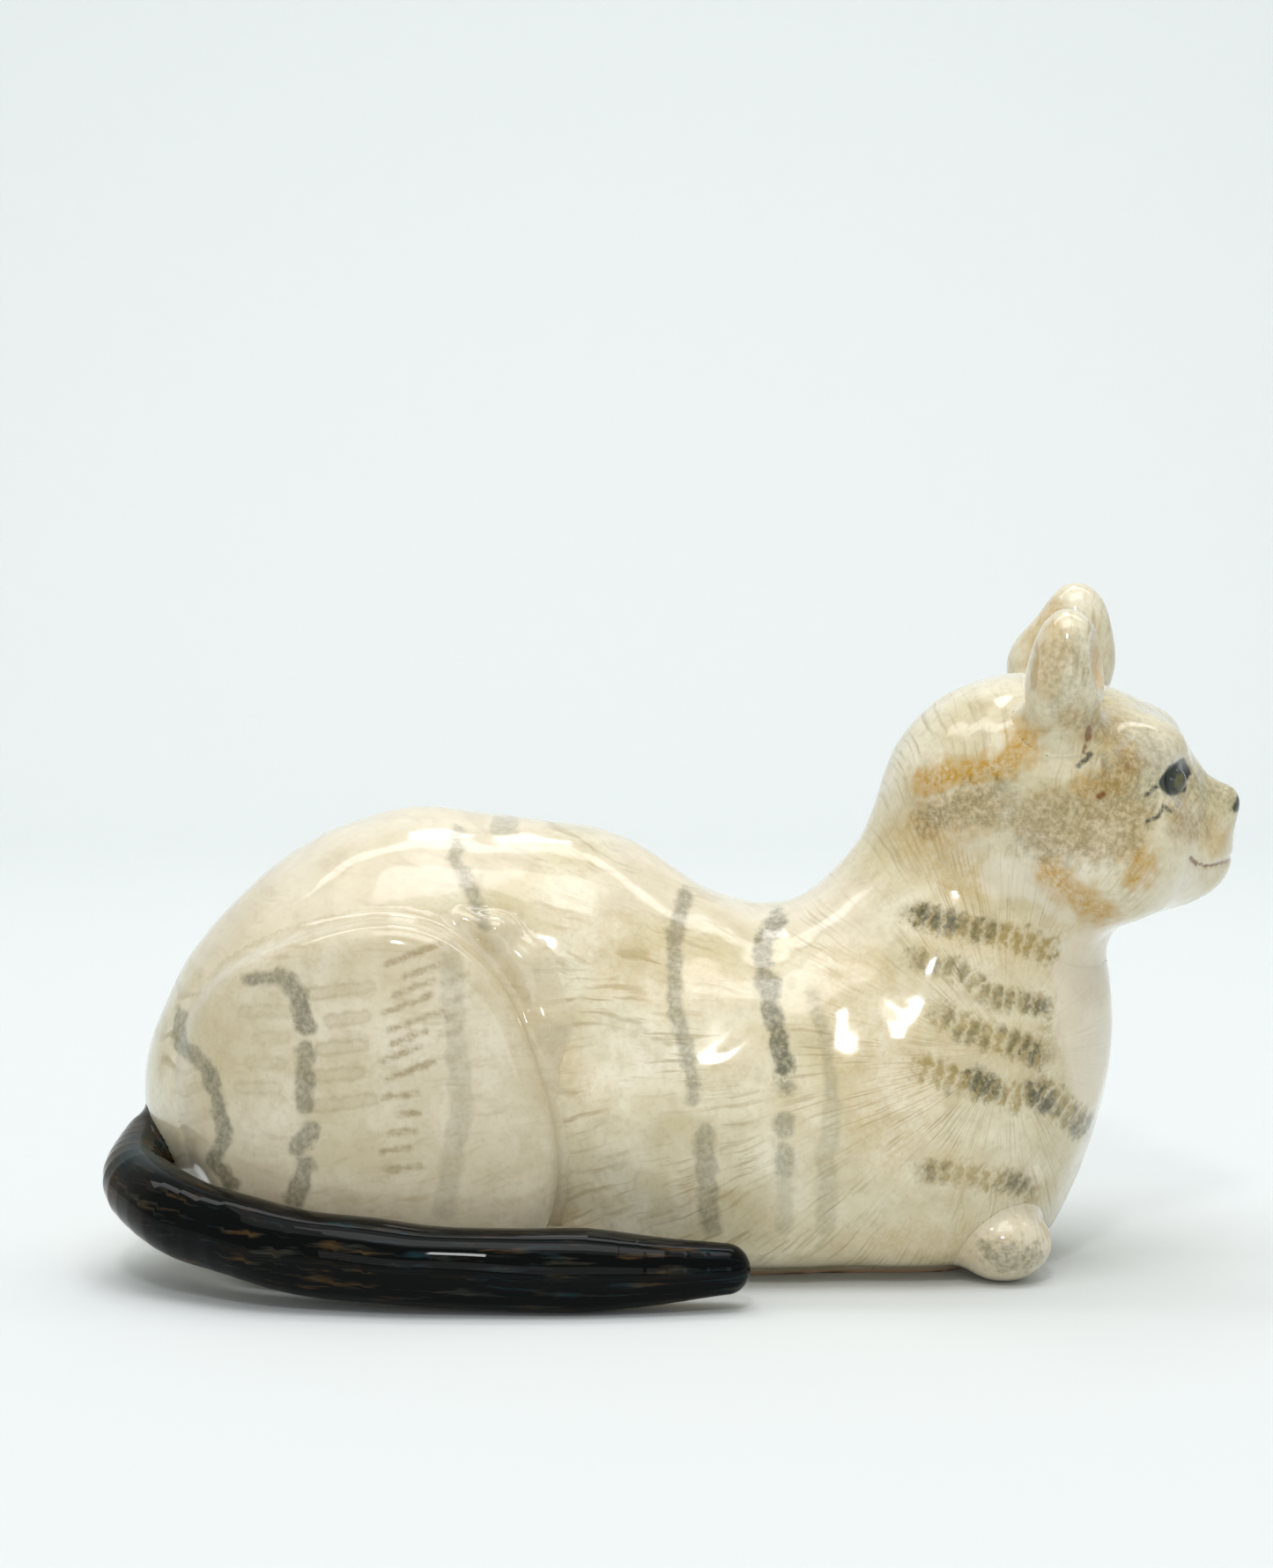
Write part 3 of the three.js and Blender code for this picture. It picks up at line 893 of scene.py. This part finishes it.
# Almost bare clay under the clear coat: the palest part, with a soft shine on top of each paw.
paw_glaze = glazed("glazed earthenware, pale paw", paw_paint)
for node, radii, ground in PAWS:
    low, high = (np.array(c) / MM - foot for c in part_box(node))
    outer = low[1] + radii[1] if node.endswith("right") else high[1] - radii[1]
    centre = np.array((high[0] - radii[0], outer, radii[2]))

    def paw_form(p, centre=centre, radii=radii):
        form = lump(p, radii, centre=centre)
        for toe in TOE_SPREAD:
            line = centre + np.array((TOE_FORWARD, toe, 0)) * radii
            top, tip = line + np.array(TOE_TOP), line + np.array(TOE_TIP)
            form = carve(form, lump(p, TOE_RADII, start=top, end=tip), TOE_EDGE)
        return np.maximum(form, foot[2] - p[:, 2])

    paw_skin, paw_solid = luted(paw_form, ground, PAW_FILLET)
    paw = modelled(node, paw_skin, on_table(paw_solid), node, PAW_FILLET + 2, PAW_CELL)
    tabby_marks(paw)
    brush(paw, "smudge", PAW_SMUDGE, points_of(paw))
    paw.data.materials.append(paw_glaze)
    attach(paw, "root")
    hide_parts(node)


# ---- tail ----------------------------------------------------------------------------------
# A roll of clay, thinned to a blunt tip, laid round the rump and along the right flank on the
# table. It is glazed black over brown brush streaks that run lengthwise.
TAIL_CELL = 0.6
TAIL_FILLET = 1.5
TAIL_ROUTE = [
    (-84, 0, 24), (-90, -9, 20.5), (-88.5, -24, 15.8), (-72, -40, 11),
    (-46, -47, 8), (-14, -48, 6.7), (9, -46, 6.6),
]
TAIL_RADII = [4.8, 5.2, 6.4, 6.9, 6.8, 6.6, 4.4]
TAIL_STEPS = 6
TAIL_HUMPS = (0.6, 43)
TAIL_AWAY = 60.0
TAIL_ABOVE, TAIL_BESIDE, TAIL_BEHIND = 50, 20, 60
STREAK_LONG, STREAK_WIDE = 11.0, 1.3
TAIL_GIRTH = 6


def smooth_route(points, radii, steps):
    """A curve through all the points, with the radius at each step of it."""
    route = np.array(points, float)
    ends = np.vstack([2 * route[0] - route[1], route, 2 * route[-1] - route[-2]])
    line, thick = [], []
    for i in range(1, len(ends) - 2):
        a, b, c, d = ends[i - 1:i + 3]
        for t in np.arange(steps) / steps:
            line.append(0.5 * (2 * b + (c - a) * t + (2 * a - 5 * b + 4 * c - d) * t ** 2
                               + (3 * b - a - 3 * c + d) * t ** 3))
            thick.append(radii[i - 1] * (1 - t) + radii[i] * t)
    return np.array(line + [route[-1]]), np.array(thick + [radii[-1]])


tail_line, tail_thick = smooth_route(TAIL_ROUTE, TAIL_RADII, TAIL_STEPS)


def tail_form(p):
    form = np.full(len(p), TAIL_AWAY, np.float32)
    outside = (p[:, 1] < foot[1] - TAIL_BESIDE) | (p[:, 0] < foot[0] - TAIL_BEHIND)
    close = (p[:, 2] < foot[2] + TAIL_ABOVE) & outside
    q = p[close]
    if len(q):
        best = np.full(len(q), TAIL_AWAY, np.float32)
        for i in range(len(tail_line) - 1):
            best = np.minimum(best, lump(q, tail_thick[i:i + 2], start=tail_line[i], end=tail_line[i + 1]))
        form[close] = best + wobble(q, *TAIL_HUMPS)
    return form


tail_skin, tail_solid = luted(tail_form, seat_form, TAIL_FILLET)


def tail_paint(tree):
    """Black glaze, thin enough over the ridges of the brushwork for brown and blue to show."""
    where = add(tree, "TexCoord", out=3)
    along = add(tree, "Attribute", out=2, attribute_name="tail_along")
    round_it = add(tree, "Attribute", out=2, attribute_name="tail_round")
    lie = add(tree, "CombineXYZ", {0: along, 1: round_it})
    lie = add(tree, "VectorMath", {0: lie, 1: (1 / STREAK_LONG, 1 / STREAK_WIDE, 0.0)},
              operation="MULTIPLY")
    streak = add(tree, "TexNoise", {"Vector": lie, "Scale": 1.0, "Detail": 3.0, "Roughness": 0.6})
    streak = add(tree, "MapRange", {"Value": streak, "From Min": 0.54, "From Max": 0.75, "To Max": 0.75})
    thin = add(tree, "MapRange", {"Value": along, "From Min": 6.0, "From Max": 40.0, "To Min": 0.6,
                                  "To Max": 0.0})
    streak = add(tree, "Math", {0: streak, 1: thin}, operation="ADD", use_clamp=True)
    tone = add(tree, "TexNoise", {"Vector": where, "Scale": 1 / (9 * MM), "Detail": 2.0})
    tone = add(tree, "MapRange", {"Value": tone, "From Min": 0.4, "From Max": 0.6})
    under = add(tree, "Mix", {0: tone, 6: linear("#5A4426"), 7: linear("#1C3A3E")}, out=2, data_type="RGBA")
    return add(tree, "Mix", {0: streak, 6: linear("#030404"), 7: under}, out=2, data_type="RGBA")


tail = modelled("tail", tail_skin, on_table(tail_solid), "tail", TAIL_FILLET + 2, TAIL_CELL)
p = points_in_mm(tail) - foot
gaps = np.stack([np.linalg.norm(p - point, axis=1) for point in tail_line], 1)
nearest = gaps.argmin(1)
step = np.linalg.norm(np.diff(tail_line, axis=0), axis=1)
way = np.gradient(tail_line, axis=0)
way /= np.linalg.norm(way, axis=1)[:, None]
off = p - tail_line[nearest]
lengthwise = (off * way[nearest]).sum(1)
keep(tail, "tail_along", np.concatenate([[0], np.cumsum(step)])[nearest] + lengthwise)
level = np.cross((0, 0, 1), way[nearest])
keep(tail, "tail_round", np.arctan2(off[:, 2], (off * level).sum(1)) * TAIL_GIRTH)
# A thick dark glaze with few ripples: near black, with one long crisp highlight down the roll.
tail.data.materials.append(glazed("black glaze over brown streaks", tail_paint, roughness=0.25, ripple=15.0,
                                  coat_ior=1.2, under_gloss=0.0, coat_haze=0.04))
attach(tail, "root")
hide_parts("tail")


# ---- table, backdrop and light -------------------------------------------------------------
# One sheet of matt white paper, laid flat and swept up behind in a curve, so that no edge shows.
# Large soft panels light it evenly, and small ones make the window-like highlights on the glaze.
SWEEP_FRONT, SWEEP_BACK, SWEEP_RADIUS, SWEEP_HIGH, SWEEP_WIDE = -1.4, 0.9, 0.5, 2.2, 1.8
SWEEP_STEPS = 16
profile = [(SWEEP_FRONT, 0.0), (SWEEP_BACK, 0.0)]
for step in range(1, SWEEP_STEPS + 1):
    turn = math.pi / 2 * step / SWEEP_STEPS
    profile.append((SWEEP_BACK + SWEEP_RADIUS * math.sin(turn), SWEEP_RADIUS * (1 - math.cos(turn))))
profile.append((profile[-1][0], SWEEP_HIGH))
ground = foot[2] * MM
paper_points = [(x, y, z + ground) for y, z in profile for x in (-SWEEP_WIDE, SWEEP_WIDE)]
paper_faces = [(2 * i, 2 * i + 1, 2 * i + 3, 2 * i + 2) for i in range(len(profile) - 1)]
paper_mesh = bpy.data.meshes.new("paper_sweep")
paper_mesh.from_pydata(paper_points, [], paper_faces)
paper_mesh.shade_smooth()
paper = bpy.data.objects.new("paper_sweep", paper_mesh)
bpy.context.scene.collection.objects.link(paper)
# Uncoated paper scatters the light: an even, cool white ground with soft contact shadows.
matt = bpy.data.materials.new("matt white paper")
matt.use_nodes = True
matt.node_tree.nodes["Principled BSDF"].inputs["Base Color"].default_value = linear("#DADEDE")
matt.node_tree.nodes["Principled BSDF"].inputs["Roughness"].default_value = 0.9
paper.data.materials.append(matt)

middle = (Vector(cad_box[0]) + Vector(cad_box[1])) / 2


def soft_light(name, azimuth, height, distance, size, power, aim=middle):
    """An area light aimed at the cat, or at aim. Azimuth 0 is the camera's side, and it grows
    toward the tail."""
    lamp = bpy.data.lights.new(name, "AREA")
    lamp.shape = "RECTANGLE"
    lamp.size, lamp.size_y = size
    lamp.energy = power
    holder = bpy.data.objects.new(name, lamp)
    turn, rise = math.radians(azimuth), math.radians(height)
    away = Vector((-math.sin(turn) * math.cos(rise), -math.cos(turn) * math.cos(rise), math.sin(rise)))
    holder.location = aim + away * distance
    holder.rotation_euler = (-away).to_track_quat("-Z", "Y").to_euler()
    bpy.context.scene.collection.objects.link(holder)


soft_light("ceiling_panel", 10, 78, 1.5, (1.4, 1.0), 5.0)
soft_light("front_panel", 0, 12, 2.0, (1.8, 0.7), 5.0)
soft_light("backdrop_wash", 0, 50, 1.4, (2.4, 0.5), 14.0,
           aim=Vector((0, SWEEP_BACK + SWEEP_RADIUS, SWEEP_RADIUS)))
soft_light("overhead_softbox", -5, 76, 1.1, (0.7, 0.4), 2.8)
soft_light("window_softbox", 6, 44, 1.4, (0.12, 0.17), 3.2)
soft_light("rear_softbox", 180, 62, 1.3, (0.3, 0.2), 1.0)
world = bpy.data.worlds.new("pale room")
world.use_nodes = True
world.node_tree.nodes["Background"].inputs["Color"].default_value = linear("#F0F4F3")
world.node_tree.nodes["Background"].inputs["Strength"].default_value = 0.56
bpy.context.scene.world = world
bpy.context.scene.view_settings.view_transform = "Standard"

# The camera stands a little above the cat's ears, square to its right flank, looking slightly down.
CAMERA_HEIGHT, CAMERA_BACK, CAMERA_SIDE, CAMERA_TILT, CAMERA_LENS = 0.120, 0.600, -0.0054, 3.56, 79.2
camera = bpy.data.objects.new("camera", bpy.data.cameras.new("camera"))
camera.data.lens = CAMERA_LENS
camera.location = Vector(foot * MM) + Vector((CAMERA_SIDE, -CAMERA_BACK, CAMERA_HEIGHT))
camera.rotation_euler = (math.radians(90 - CAMERA_TILT), 0, 0)
bpy.context.scene.collection.objects.link(camera)
bpy.context.scene.camera = camera
